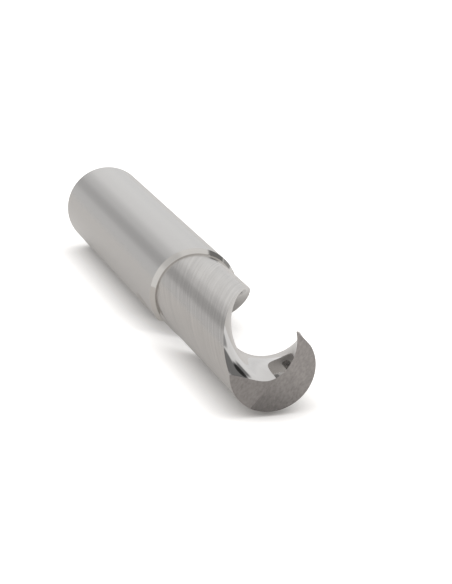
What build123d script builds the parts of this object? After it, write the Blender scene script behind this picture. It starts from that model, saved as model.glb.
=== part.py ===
from build123d import *
import math
import os

# Single flute end mill, in millimetres.
# It stands on the flat rear end of its shank, with its axis on Z and its cutting end up.
# The corner of the cutting edge is on +X. The flute is a right-hand helix and the tool cuts right-handed.

# Ground rod
overall_length = 72.0
shank_diameter = 10.0
rear_chamfer = 0.6
shoulder_to_tip = 30.1
shoulder_length = 0.85
cutting_diameter = 9.2
land_diameter = 9.0

# Flute, with the sizes of its cross-section measured from the line through the corner and the axis
helix_angle = 30.0
flute_opening = 123.0
rake_angle = 40.0
lip_undercut = 1.2
lip_undercut_reach = 2.6
root_past_centre = 1.1
root_undercut = 0.3
wall_past_centre = 1.9
wall_height = 1.7
wall_lean = 16.0
full_depth_length = 21.3
wheel_radius = 26.0

# Margin and relief behind the cutting edge
margin_angle = 2.5
relief_angle = 28.0
relief_run_in = 0.15

# Ground end, with its ridge given by its distance from the axis and the way it points
dish_angle = 5.9
end_relief_angle = 5.0
back_relief_angle = 1.5
ridge_offset = 0.95
ridge_angle = 168.0

# How far a cutter starts from the metal, how far out it reaches, and how far apart its stations are
clearance = 1.0
reach = shank_diameter
station_spacing = 1.25

shank_radius = shank_diameter / 2
cutting_radius = cutting_diameter / 2
land_radius = land_diameter / 2
shoulder_z = overall_length - shoulder_to_tip
land_z = shoulder_z + shoulder_length
lead = math.pi * cutting_diameter / math.tan(math.radians(helix_angle))
turn_per_mm = 360.0 / lead


def at_angle(radius, angle):
    """A point of the cross-section, from its distance to the axis and its angle in degrees."""
    return Vector(radius * math.cos(math.radians(angle)), radius * math.sin(math.radians(angle)))


def twisted_loft(section_at, bottom, top):
    """A loft through the section at evenly spaced heights, each turned as far as the helix has turned."""
    steps = math.ceil((top - bottom) / station_spacing)
    heights = [bottom + (top - bottom) * i / steps for i in range(steps + 1)]
    return loft([
        Pos(0, 0, z) * Rot(0, 0, (z - overall_length) * turn_per_mm) * section_at(z)
        for z in heights
    ])


def ground_rod():
    """The rod before fluting: chamfered shank, coned shoulder and the thinner part, left a little long."""
    outline = Polyline(
        (0, 0),
        (shank_radius - rear_chamfer, 0),
        (shank_radius, rear_chamfer),
        (shank_radius, shoulder_z),
        (cutting_radius, land_z - relief_run_in),
        (cutting_radius, overall_length + clearance),
        (0, overall_length + clearance),
        close=True,
    )
    # The seam of its round faces goes into the flute, clear of the corner of the cutting edge
    return Rot(0, 0, flute_opening / 2) * revolve(Plane.XZ * make_face(outline), Axis.Z)


def gullet_section():
    """The open side of the flute: a hooked rake face, a root past the centre and a steep back wall."""
    corner = Vector(cutting_radius, 0)
    heel = at_angle(land_radius, flute_opening)
    rake = at_angle(1.0, 180.0 + rake_angle)
    wall = at_angle(1.0, 90.0 + wall_lean)
    before_corner = corner - rake * clearance
    past_heel = heel + wall * clearance
    curve = Spline(
        before_corner,
        corner,
        (cutting_radius - lip_undercut_reach, -lip_undercut),
        (-root_past_centre, -root_undercut),
        (-wall_past_centre, wall_height),
        heel,
        past_heel,
        tangents=(rake, wall),
    )
    rim = Polyline(
        past_heel,
        heel + wall * reach,
        corner - rake * reach,
        before_corner,
    )
    return make_face(curve + rim)


def gullet():
    """The space that the grinding wheel leaves, with the run-out where it lifts from the metal."""
    section = gullet_section()
    lift_start = overall_length - full_depth_length
    full_lift = shank_radius + root_past_centre + clearance
    run_out = math.sqrt(wheel_radius ** 2 - (wheel_radius - full_lift) ** 2)

    def lifted(z):
        below = max(0.0, lift_start - z)
        lift = wheel_radius - math.sqrt(wheel_radius ** 2 - below ** 2)
        return Pos(*at_angle(lift, flute_opening / 2)) * section

    return twisted_loft(lifted, lift_start - run_out, overall_length + 2 * clearance)


def land_relief():
    """What is ground off behind the margin: a flat relief, and then the round land below the edge."""
    margin_end = at_angle(cutting_radius, -margin_angle)
    relief_end = at_angle(land_radius, -relief_angle)
    past_margin = margin_end + (margin_end - relief_end).normalized() * clearance
    land_turn = flute_opening / 2 - 360.0 + relief_angle
    section = make_face(
        Line(past_margin, relief_end)
        + CenterArc((0, 0), land_radius, -relief_angle, land_turn)
        + Line(at_angle(land_radius, flute_opening / 2), at_angle(reach, flute_opening / 2))
        + CenterArc((0, 0), reach, flute_opening / 2, -land_turn)
        + Line(at_angle(reach, -relief_angle), past_margin)
    )
    return twisted_loft(lambda z: section, land_z, overall_length + 2 * clearance)


def above(plane, start=Align.CENTER):
    """A block that stands on a plane and takes away what is over it, both ways or from its origin on."""
    return plane * Box(2 * reach, 2 * reach, reach, align=(start, Align.CENTER, Align.MIN))


def end_facets():
    """What is ground off the end: a dished facet behind the edge, and a lower one beyond a ridge."""
    corner = Vector(cutting_radius, 0, overall_length)
    normal = Vector(
        -math.tan(math.radians(dish_angle)),
        -math.tan(math.radians(end_relief_angle)),
        1.0,
    )
    ridge = at_angle(1.0, ridge_angle)
    foot = at_angle(ridge_offset, ridge_angle + 90.0)
    drop = (corner - foot).dot(normal) / normal.Z
    ridge_start = Vector(foot.X, foot.Y, drop)
    along = ridge - normal * (ridge.dot(normal) / normal.dot(normal))
    edge_facet = Plane(origin=ridge_start, x_dir=along, z_dir=normal)
    back_facet = edge_facet.rotated((-back_relief_angle, 0, 0))
    return above(edge_facet) + above(back_facet, start=Align.MIN)


end_mill = ground_rod() - land_relief() - gullet() - end_facets()
os.makedirs("parts", exist_ok=True)
export_step(end_mill, "parts/end_mill.step")
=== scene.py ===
import math
import bpy
import numpy as np
from mathutils import Matrix, Quaternion, Vector


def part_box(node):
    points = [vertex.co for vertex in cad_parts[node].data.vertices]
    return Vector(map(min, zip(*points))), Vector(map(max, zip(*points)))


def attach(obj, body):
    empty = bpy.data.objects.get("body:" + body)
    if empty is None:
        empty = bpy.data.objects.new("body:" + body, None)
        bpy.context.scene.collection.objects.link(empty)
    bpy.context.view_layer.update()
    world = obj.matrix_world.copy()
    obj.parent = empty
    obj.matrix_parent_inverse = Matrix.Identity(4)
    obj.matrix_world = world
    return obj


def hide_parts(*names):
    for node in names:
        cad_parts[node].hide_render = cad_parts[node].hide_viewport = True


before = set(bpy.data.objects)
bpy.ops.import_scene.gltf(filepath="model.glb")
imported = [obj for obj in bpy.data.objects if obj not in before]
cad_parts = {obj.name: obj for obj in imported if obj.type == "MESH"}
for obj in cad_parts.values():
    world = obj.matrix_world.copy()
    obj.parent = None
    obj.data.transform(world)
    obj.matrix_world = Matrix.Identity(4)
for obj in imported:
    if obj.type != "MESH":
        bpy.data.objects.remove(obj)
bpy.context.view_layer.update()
low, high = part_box("end_mill")

# Sizes of the end mill in metres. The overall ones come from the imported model.
MM = 0.001
overall_length = high.z - low.z
shank_radius = (high.x - low.x) / 2
rear_chamfer = 0.6 * MM
shoulder_z = overall_length - 30.1 * MM
shoulder_length = 0.85 * MM
cutting_radius = 4.6 * MM
land_radius = 4.5 * MM
land_z = shoulder_z + shoulder_length
relief_run_in = 0.15 * MM

# Flute: the helix, its cross-section from the line through the corner and the axis, and the wheel's run-out
helix_angle = math.radians(30.0)
turn_per_metre = math.tan(helix_angle) / cutting_radius
flute_opening = math.radians(123.0)
rake_angle = math.radians(40.0)
lip_undercut = 1.2 * MM
lip_undercut_reach = 2.6 * MM
root_past_centre = 1.1 * MM
root_undercut = 0.3 * MM
wall_past_centre = 1.9 * MM
wall_height = 1.7 * MM
wall_lean = math.radians(16.0)
full_depth_length = 21.3 * MM
wheel_radius = 26.0 * MM

# Margin and relief behind the cutting edge
margin_angle = math.radians(2.5)
relief_angle = math.radians(28.0)

# Ground end
dish_angle = math.radians(5.9)
end_relief_angle = math.radians(5.0)
back_relief_angle = math.radians(1.5)
ridge_offset = 0.95 * MM
ridge_angle = math.radians(168.0)

# How far a cutter starts from the metal and reaches out, and how fine the meshes are
clearance = 1.0 * MM
reach = 2 * shank_radius
station_spacing = 0.3 * MM
round_points = 160
gullet_points = 120
relief_points = 8
shank_stations = 12
crease_angle = math.radians(20.0)

# The photograph's frame in pixels, and its camera round the standing tool
photo_width, photo_height = 452, 584
camera_place = Vector((30.96, 95.89, 291.64)) * MM
camera_aim = Vector((1.27, -4.36, 39.46)) * MM
camera_roll = math.radians(133.45)
focal_length_px = 2438.0
sensor_width_mm = 36.0

# The white surface that the tool lies on in the photograph touches its shank on this side. It glows a little
# to the camera and in the polished metal, so that it comes out white, but not so close to the tool, where
# the glow to the camera is dimmed by ambient occlusion as a painted contact shadow.
floor_side = math.radians(209.2)
floor_gap = 0.02 * MM
floor_half_size = 1.5
floor_colour = "#dbd8d5"
contact_shadow = 4.5 * MM
contact_falloff = 1.25
glow_to_camera = 0.75
glow_in_mirrors = 0.11

# Shades of the studio: a direction, the degrees within which a shade is full and past which it is gone, and
# the light that is left in it. Where shades meet, the darkest counts. The first three are the gap behind the
# tool that makes the dark band along it, the next five are the dark corner that blackens part of the cone and
# of the flute, and the last two are grey edges overhead.
white = (1.0, 1.0, 1.0, 1.0)
studio_shades = (
    ((0.095, 0.372, -0.924), 2, 10, 0.50),
    ((0.090, 0.370, -0.924), 7, 19, 0.73),
    ((-0.020, 0.385, -0.924), 9, 16, 0.75),
    ((0.810, -0.430, -0.385), 9, 12.5, 0.25),
    ((0.590, -0.665, -0.460), 6, 9, 0.42),
    ((0.830, -0.275, -0.485), 9, 13, 0.25),
    ((0.715, -0.330, -0.615), 4, 8, 0.04),
    ((0.610, -0.380, -0.700), 3, 7, 0.25),
    ((0.200, -0.330, -0.920), 4, 16, 0.86),
    ((0.500, 0.850, -0.150), 10, 25, 0.78),
)


def linear(hex_colour):
    """A linear RGB colour from an sRGB hex value."""
    parts = [int(hex_colour[i:i + 2], 16) / 255 for i in (1, 3, 5)]
    return tuple(c / 12.92 if c <= 0.04045 else ((c + 0.055) / 1.055) ** 2.4 for c in parts)


def add(tree, kind, *inputs, **named):
    """A node with its settings and its inputs, which are given in order or by name.

    A name in lower case is a setting. A node given as an input stands for its first output, an output is
    linked, a list links each of its own, and anything else is the input's value.
    """
    node = tree.nodes.new(kind)
    for name in [name for name in named if name.islower()]:
        setattr(node, name, named.pop(name))
    for key, value in [*enumerate(inputs), *named.items()]:
        socket = node.inputs[key if isinstance(key, int) else key.replace("_", " ")]
        for source in value if isinstance(value, list) else [value]:
            if isinstance(source, bpy.types.Node):
                source = source.outputs[0]
            if isinstance(source, bpy.types.NodeSocket):
                tree.links.new(source, socket)
            else:
                socket.default_value = source
    return node


# Cross-sections in the plane z = 0, all counter-clockwise, so that what is swept along Z faces outwards

def at_angle(radius, angle):
    """A point of the cross-section, from its distance to the axis and its angle."""
    return np.array((radius * math.cos(angle), radius * math.sin(angle)))


def smooth_curve(points, start_slope, end_slope, count):
    """Points on the cubic spline through some points, with the slopes of its two ends given."""
    points = np.array(points)
    steps = np.linalg.norm(np.diff(points, axis=0), axis=1)
    rises = np.diff(points, axis=0) / steps[:, None]
    system = np.eye(len(points))
    slopes = np.array((start_slope, *points[1:-1], end_slope))
    for i in range(1, len(points) - 1):
        before, after = steps[i - 1], steps[i]
        system[i, i - 1:i + 2] = after, 2 * (before + after), before
        slopes[i] = 3 * (after * rises[i - 1] + before * rises[i])
    slopes = np.linalg.solve(system, slopes)
    knots = np.concatenate(([0.0], np.cumsum(steps)))
    made = []
    for place in np.linspace(0, knots[-1], count):
        i = min(np.searchsorted(knots, place, side="right") - 1, len(steps) - 1)
        t = (place - knots[i]) / steps[i]
        made.append(
            (2 * t ** 3 - 3 * t ** 2 + 1) * points[i]
            + (t ** 3 - 2 * t ** 2 + t) * steps[i] * slopes[i]
            + (3 * t ** 2 - 2 * t ** 3) * points[i + 1]
            + (t ** 3 - t ** 2) * steps[i] * slopes[i + 1]
        )
    return made


def gullet_outline():
    """The space of the flute: the hooked rake face, the root and the steep back wall, then a wide rim."""
    corner = np.array((cutting_radius, 0.0))
    heel = at_angle(land_radius, flute_opening)
    rake = at_angle(1.0, math.pi + rake_angle)
    wall = at_angle(1.0, math.pi / 2 + wall_lean)
    through = [
        corner - rake * clearance,
        corner,
        (cutting_radius - lip_undercut_reach, -lip_undercut),
        (-root_past_centre, -root_undercut),
        (-wall_past_centre, wall_height),
        heel,
        heel + wall * clearance,
    ]
    curve = smooth_curve(through, rake, wall, gullet_points)
    return (curve + [heel + wall * reach, corner - rake * reach])[::-1]


def arc(radius, start, turn):
    """Points along an arc, without the one at its start."""
    count = max(2, round(round_points * abs(turn) / math.tau))
    return [at_angle(radius, start + turn * i / count) for i in range(1, count + 1)]


def cutting_outline():
    """The section behind the shoulder: round land, flat relief, margin, and the circle of the edge itself."""
    middle = flute_opening / 2
    land = arc(land_radius, middle, math.tau - relief_angle - middle)
    margin = arc(cutting_radius, -margin_angle, margin_angle)
    margin_start = at_angle(cutting_radius, -margin_angle)
    relief = [
        land[-1] + (margin_start - land[-1]) * i / relief_points
        for i in range(1, relief_points + 1)
    ]
    return land + relief + margin + arc(cutting_radius, 0.0, middle)


def curve_object(name, points, closed, radii=None):
    """A poly curve through points of two or three values, with a radius for each if it is given."""
    data = bpy.data.curves.new(name, "CURVE")
    data.dimensions = "3D"
    spline = data.splines.new("POLY")
    spline.points.add(len(points) - 1)
    for i, (point, place) in enumerate(zip(points, spline.points)):
        place.co = (*point, *(0.0,) * (3 - len(point)), 1.0)
        place.radius = radii[i] if radii else 1.0
    spline.use_cyclic_u = closed
    obj = bpy.data.objects.new(name, data)
    bpy.context.scene.collection.objects.link(obj)
    return obj


def shank_path():
    """The line that a circle of radius one follows, with its radius at the chamfer, shank and cone."""
    length = shoulder_z - rear_chamfer
    stations = [(0.0, shank_radius - rear_chamfer)]
    stations += [
        (rear_chamfer + length * i / shank_stations, shank_radius)
        for i in range(shank_stations + 1)
    ]
    stations += [(land_z - relief_run_in, cutting_radius), (land_z, cutting_radius)]
    return curve_object("shank_path", [(0, 0, z) for z, r in stations], False, [r for z, r in stations])


# Finishes

# The marks of grinding are a noise with three finer ones laid on it, mostly between a low and a high value
mark_detail = 3.0
mark_roughness = 0.6
mark_low, mark_high = 0.3, 0.7
mark_depth = 0.01 * MM


def carbide(name, hex_colour, roughness, grain, shade, relief, twist=0.0, turn=0.0, painted_shade=None):
    """Cemented carbide with the marks of its grinding, which shade its colour and gloss and stand out.

    grain is the size of a mark in millimetres along X, Y and Z, after the twist of the flute is taken off
    and the marks are turned about the axis. shade is how far a mark changes the colour and the gloss, as a
    share of them, and relief is the share of its depth that shows. fade gives two places along X in
    millimetres, and the share of the colour that is left at the first and grows to the whole at the second.
    """
    material = bpy.data.materials.new(name)
    material.use_nodes = True
    tree = material.node_tree
    tree.nodes.clear()
    place = add(tree, "ShaderNodeTexCoord").outputs["Object"]
    if twist:
        height = add(tree, "ShaderNodeSeparateXYZ", place).outputs["Z"]
        angle = add(tree, "ShaderNodeMath", height, -twist, operation="MULTIPLY")
        place = add(tree, "ShaderNodeVectorRotate", place, Angle=angle, rotation_type="Z_AXIS")
    scale = tuple(1 / (size * MM) for size in grain)
    marks = add(tree, "ShaderNodeMapping", place, Rotation=(0.0, 0.0, turn), Scale=scale)
    noise = add(tree, "ShaderNodeTexNoise", marks, Scale=1.0, Detail=mark_detail, Roughness=mark_roughness)
    tint = add(tree, "ShaderNodeMapRange", noise, mark_low, mark_high, 1.0 - shade, 1.0 + shade)
    # Painted shade: the colour darkens along X, from the whole of it at the second place to the share left at
    # the first
    if painted_shade:
        across = add(tree, "ShaderNodeSeparateXYZ", place).outputs["X"]
        start, stop, left = painted_shade
        share = add(tree, "ShaderNodeMapRange", across, start * MM, stop * MM, left, 1.0)
        tint = add(tree, "ShaderNodeMath", tint, share, operation="MULTIPLY")
    gloss = add(
        tree, "ShaderNodeMapRange", noise, mark_low, mark_high,
        roughness * (1.0 + shade), roughness * (1.0 - shade),
    )
    surface = add(
        tree, "ShaderNodeBsdfPrincipled", Metallic=1.0, Roughness=gloss,
        Base_Color=add(tree, "ShaderNodeVectorMath", linear(hex_colour), Scale=tint, operation="SCALE"),
        Normal=add(tree, "ShaderNodeBump", Strength=relief, Distance=mark_depth, Height=noise),
    )
    add(tree, "ShaderNodeOutputMaterial", surface)
    return material


# Centreless grinding leaves fine lines round the shank, which the eye reads as a smooth satin.
# The real lines are about 0.03 mm apart and are drawn at 0.12 mm, so that they show at all.
ground_shank = carbide("centreless_ground_carbide", "#bbb9b7", 0.20, (30.0, 30.0, 0.12), 0.012, 0.02)

# The cone is ground with a fine wheel and shows the studio almost as a mirror.
# Its lines are about 0.02 mm apart and are drawn at 0.08 mm.
ground_cone = carbide("fine_ground_carbide", "#c7c4c0", 0.06, (20.0, 20.0, 0.08), 0.03, 0.02)

# The land is ground along the flute, with clear lines that keep its helix.
# The real lines are about 0.05 mm apart, and the bunches of them that show are drawn, at 0.28 mm.
ground_land = carbide(
    "helical_ground_carbide", "#b7b4b1", 0.17, (0.28, 0.28, 9.0), 0.10, 0.12, twist=turn_per_metre
)

# The flute is polished, so that chips slide out. It mirrors the studio, with a trace of the wheel's lines,
# which are drawn at 0.6 mm, for the polish leaves only their broad waves.
polished_flute = carbide(
    "polished_carbide", "#c4c2c0", 0.05, (0.6, 0.6, 12.0), 0.03, 0.02, twist=turn_per_metre
)

# The end is ground with a coarser diamond wheel and is matt and finely mottled. The facet behind the edge
# has a painted shade, its colour darkening towards the ridge, and the one beyond the ridge is even.
# The scratches of its grit are about 0.06 mm wide and are drawn as mottles of 0.25 by 0.45 mm.
ground_edge_facet = carbide(
    "diamond_ground_edge_carbide", "#a5a19f", 0.42, (0.45, 0.25, 0.5), 0.15, 0.20,
    turn=math.radians(-35.0), painted_shade=(-4.2, 0.4, 0.55),
)
ground_back_facet = carbide(
    "diamond_ground_back_carbide", "#989492", 0.45, (0.45, 0.25, 0.5), 0.12, 0.20,
    turn=math.radians(55.0),
)


# The end mill

def end_planes():
    """The start of the ridge between the two end facets, and how each facet's block is turned."""
    corner = Vector((cutting_radius, 0, overall_length))
    normal = Vector((-math.tan(dish_angle), -math.tan(end_relief_angle), 1.0))
    ridge = Vector((*at_angle(1.0, ridge_angle), 0.0))
    foot = Vector((*at_angle(ridge_offset, ridge_angle + math.pi / 2), 0.0))
    start = Vector((foot.x, foot.y, (corner - foot).dot(normal) / normal.z))
    along = (ridge - normal * ridge.dot(normal) / normal.dot(normal)).normalized()
    up = normal.normalized()
    edge_facet = Matrix((along, up.cross(along), up)).transposed()
    back_facet = edge_facet @ Matrix.Rotation(back_relief_angle, 3, "X")
    return start, edge_facet.to_euler(), back_facet.to_euler()


def fluted_rod_tree(sizes):
    """The tool: a turned shank and a helical cutting part, less the gullet and the two end facets."""
    kinds = {bpy.types.Object: "NodeSocketObject", float: "NodeSocketFloat", tuple: "NodeSocketVector"}
    tree = bpy.data.node_groups.new("fluted_rod", "GeometryNodeTree")
    tree.interface.new_socket("Geometry", in_out="OUTPUT", socket_type="NodeSocketGeometry")
    tree.interface.new_socket("Shank path", in_out="INPUT", socket_type="NodeSocketGeometry")
    for name, value in sizes.items():
        tree.interface.new_socket(name, in_out="INPUT", socket_type=kinds[type(value)])
    given = add(tree, "NodeGroupInput").outputs

    place = add(tree, "GeometryNodeInputPosition")
    height = add(tree, "ShaderNodeSeparateXYZ", place).outputs["Z"]
    from_top = add(tree, "ShaderNodeMath", height, given["Overall length"], operation="SUBTRACT")
    turn = add(tree, "ShaderNodeMath", from_top, given["Turn per metre"], operation="MULTIPLY")

    # The grinding wheel leaves the metal along its own circle, below the height where the lift starts
    over_start = add(tree, "ShaderNodeMath", height, given["Lift start"], operation="SUBTRACT")
    below = add(tree, "ShaderNodeMath", over_start, 0.0, operation="MINIMUM")
    square = add(tree, "ShaderNodeMath", below, 2.0, operation="POWER")
    wheel_square = add(tree, "ShaderNodeMath", given["Wheel radius"], 2.0, operation="POWER")
    left = add(tree, "ShaderNodeMath", wheel_square, square, operation="SUBTRACT")
    height_left = add(tree, "ShaderNodeMath", left, operation="SQRT")
    lift = add(tree, "ShaderNodeMath", given["Wheel radius"], height_left, operation="SUBTRACT")
    outwards = add(tree, "ShaderNodeVectorMath", given["Lift direction"], Scale=lift, operation="SCALE")
    lifted = add(tree, "ShaderNodeVectorMath", place, outwards, operation="ADD")

    def helical(section, start, stop, moved, material):
        """A section swept up the axis, with each of its rings moved and then turned with the helix."""
        line = add(
            tree, "GeometryNodeCurvePrimitiveLine",
            Start=add(tree, "ShaderNodeCombineXYZ", Z=given[start]),
            End=add(tree, "ShaderNodeCombineXYZ", Z=given[stop]),
        )
        path = add(tree, "GeometryNodeResampleCurve", line, Length=given["Station spacing"], mode="LENGTH")
        outline = add(tree, "GeometryNodeObjectInfo", given[section]).outputs["Geometry"]
        body = add(tree, "GeometryNodeCurveToMesh", path, outline, Fill_Caps=True)
        twisted = add(tree, "ShaderNodeVectorRotate", moved, Angle=turn, rotation_type="Z_AXIS")
        shaped = add(tree, "GeometryNodeSetPosition", body, Position=twisted)
        return add(tree, "GeometryNodeSetMaterial", shaped, Material=material)

    turned = add(
        tree, "GeometryNodeCurveToMesh", given["Shank path"],
        add(tree, "GeometryNodeObjectInfo", given["Round section"]).outputs["Geometry"],
        Scale=add(tree, "GeometryNodeInputRadius"), Fill_Caps=True,
    )
    shank = add(tree, "GeometryNodeSetMaterial", turned, Material=ground_shank)
    cutting_part = helical("Cutting section", "Shank overlap", "Rod top", place, ground_land)
    gullet = helical("Gullet section", "Run-out start", "Cutter top", lifted, polished_flute)

    blocks = []
    facets = (("Edge facet turn", 0.0, ground_edge_facet), ("Back facet turn", reach, ground_back_facet))
    for name, ahead, material in facets:
        block = add(tree, "GeometryNodeMeshCube", (2 * reach,) * 3)
        raised = add(tree, "GeometryNodeTransform", block, Translation=(ahead, 0.0, reach))
        placed = add(
            tree, "GeometryNodeTransform", raised,
            Translation=given["Ridge start"], Rotation=given[name],
        )
        blocks.append(add(tree, "GeometryNodeSetMaterial", placed, Material=material))

    rod = add(
        tree, "GeometryNodeMeshBoolean", Mesh_2=[shank, cutting_part],
        operation="UNION", solver="EXACT",
    )
    ground = add(
        tree, "GeometryNodeMeshBoolean", rod, [gullet, *blocks],
        operation="DIFFERENCE", solver="EXACT",
    )

    smooth = add(tree, "GeometryNodeSetShadeSmooth", ground, Shade_Smooth=True, domain="FACE")
    bend = add(tree, "GeometryNodeInputMeshEdgeAngle")
    is_crease = add(tree, "ShaderNodeMath", bend, crease_angle, operation="GREATER_THAN")
    creased = add(tree, "GeometryNodeSetShadeSmooth", smooth, is_crease, False, domain="EDGE")
    realized = add(tree, "GeometryNodeRealizeInstances", creased)

    # The cone is what the turned part has over the shank
    is_over_shank = add(tree, "ShaderNodeMath", height, given["Shoulder height"], operation="GREATER_THAN")
    is_turned = add(tree, "GeometryNodeMaterialSelection", ground_shank)
    is_cone = add(tree, "FunctionNodeBooleanMath", is_over_shank, is_turned, operation="AND")
    finished = add(tree, "GeometryNodeSetMaterial", realized, is_cone, ground_cone)
    add(tree, "NodeGroupOutput", finished)
    return tree


def fluted_rod():
    """The whole tool as one mesh, ready to stand for the solid."""
    circle = [at_angle(1.0, math.tau * i / round_points) for i in range(round_points)]
    full_lift = shank_radius + root_past_centre + clearance
    lift_start = overall_length - full_depth_length
    run_out = math.sqrt(wheel_radius ** 2 - (wheel_radius - full_lift) ** 2)
    ridge_start, edge_facet_turn, back_facet_turn = end_planes()
    sizes = {
        "Round section": curve_object("round_section", circle, True),
        "Cutting section": curve_object("cutting_section", cutting_outline(), True),
        "Gullet section": curve_object("gullet_section", gullet_outline(), True),
        "Overall length": overall_length,
        "Shoulder height": shoulder_z,
        "Shank overlap": shoulder_z - clearance,
        "Rod top": overall_length + clearance,
        "Turn per metre": turn_per_metre,
        "Run-out start": lift_start - run_out,
        "Lift start": lift_start,
        "Lift direction": (*at_angle(1.0, flute_opening / 2), 0.0),
        "Wheel radius": wheel_radius,
        "Cutter top": overall_length + 2 * clearance,
        "Station spacing": station_spacing,
        "Ridge start": tuple(ridge_start),
        "Edge facet turn": tuple(edge_facet_turn),
        "Back facet turn": tuple(back_facet_turn),
    }
    path = shank_path()
    modifier = path.modifiers.new("fluted_rod", "NODES")
    modifier.node_group = fluted_rod_tree(sizes)
    sockets = {item.name: item.identifier for item in modifier.node_group.interface.items_tree}
    for name, value in sizes.items():
        modifier[sockets[name]] = value
    graph = bpy.context.evaluated_depsgraph_get()
    mesh = bpy.data.meshes.new_from_object(path.evaluated_get(graph), depsgraph=graph)
    path.modifiers.remove(modifier)
    tool = bpy.data.objects.new("fluted_carbide_rod", mesh)
    bpy.context.scene.collection.objects.link(tool)
    for helper in [path] + [value for value in sizes.values() if isinstance(value, bpy.types.Object)]:
        bpy.data.objects.remove(helper)
    return tool


# Floor, lights and camera

def table():
    """The white surface that the tool lies on, which keeps its shadow and is clear from behind."""
    material = bpy.data.materials.new("white_table")
    material.use_nodes = True
    tree = material.node_tree
    tree.nodes.clear()
    ray = add(tree, "ShaderNodeLightPath").outputs
    is_mirrored = add(
        tree, "ShaderNodeMath", ray["Is Glossy Ray"], ray["Is Transmission Ray"], operation="ADD"
    )
    mirror_glow = add(tree, "ShaderNodeMath", is_mirrored, glow_in_mirrors, operation="MULTIPLY")
    camera_glow = add(tree, "ShaderNodeMath", ray["Is Camera Ray"], glow_to_camera, operation="MULTIPLY")
    # Painted contact shadow: the glow to the camera is dimmed near the tool by its ambient occlusion, over
    # the floor's real shadow
    open_share = add(tree, "ShaderNodeAmbientOcclusion", Distance=contact_shadow).outputs["AO"]
    unshaded = add(tree, "ShaderNodeMath", open_share, contact_falloff, operation="POWER")
    strength = add(tree, "ShaderNodeMath", camera_glow, unshaded, mirror_glow, operation="MULTIPLY_ADD")
    pale = add(tree, "ShaderNodeBsdfDiffuse", (*linear(floor_colour), 1.0))
    glow = add(tree, "ShaderNodeEmission", white, Strength=strength)
    lit = add(tree, "ShaderNodeAddShader", pale, glow)
    clear = add(tree, "ShaderNodeBsdfTransparent")
    is_behind = add(tree, "ShaderNodeNewGeometry").outputs["Backfacing"]
    add(tree, "ShaderNodeOutputMaterial", add(tree, "ShaderNodeMixShader", is_behind, lit, clear))
    up = -Vector((*at_angle(1.0, floor_side), 0.0))
    across = up.cross(Vector((0, 0, 1)))
    centre = -up * (shank_radius + floor_gap)
    corners = [
        centre + floor_half_size * (across * i + Vector((0, 0, j)))
        for i, j in ((1, -1), (1, 1), (-1, 1), (-1, -1))
    ]
    data = bpy.data.meshes.new("table")
    data.from_pydata(corners, [], [(0, 1, 2, 3)])
    data.materials.append(material)
    data.update()
    if data.polygons[0].normal.dot(up) < 0:
        data.flip_normals()
    floor = bpy.data.objects.new("table", data)
    bpy.context.scene.collection.objects.link(floor)


def studio():
    """An even white studio with a few soft shades, which is plain white to the camera."""
    world = bpy.data.worlds.new("studio")
    bpy.context.scene.world = world
    world.use_nodes = True
    tree = world.node_tree
    tree.nodes.clear()
    way = add(tree, "ShaderNodeTexCoord").outputs["Generated"]
    light = 1.0
    for direction, full, gone, left in studio_shades:
        middle = Vector(direction).normalized()
        cosine = add(tree, "ShaderNodeVectorMath", way, middle, operation="DOT_PRODUCT").outputs["Value"]
        shade = add(
            tree, "ShaderNodeMapRange", cosine,
            math.cos(math.radians(gone)), math.cos(math.radians(full)), 1.0, left,
            interpolation_type="SMOOTHSTEP",
        )
        light = add(tree, "ShaderNodeMath", light, shade, operation="MINIMUM")
    seen = add(tree, "ShaderNodeBackground", white, Strength=1.0)
    cast = add(tree, "ShaderNodeBackground", white, Strength=light)
    is_camera = add(tree, "ShaderNodeLightPath").outputs["Is Camera Ray"]
    add(tree, "ShaderNodeOutputWorld", add(tree, "ShaderNodeMixShader", is_camera, cast, seen))


def photo_camera():
    """The camera at the photograph's place, with its turn about the line of sight."""
    data = bpy.data.cameras.new("photo_camera")
    data.sensor_width = sensor_width_mm
    data.lens = focal_length_px * sensor_width_mm / max(photo_width, photo_height)
    data.clip_start = 1.0 * MM
    camera = bpy.data.objects.new("photo_camera", data)
    bpy.context.scene.collection.objects.link(camera)
    camera.location = camera_place
    camera.rotation_mode = "QUATERNION"
    level = (camera_aim - camera_place).to_track_quat("-Z", "Y")
    camera.rotation_quaternion = level @ Quaternion((0, 0, 1), camera_roll)
    bpy.context.scene.camera = camera


tool = fluted_rod()
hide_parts("end_mill")
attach(tool, "root")
table()
studio()
photo_camera()
bpy.context.scene.view_settings.view_transform = "Standard"
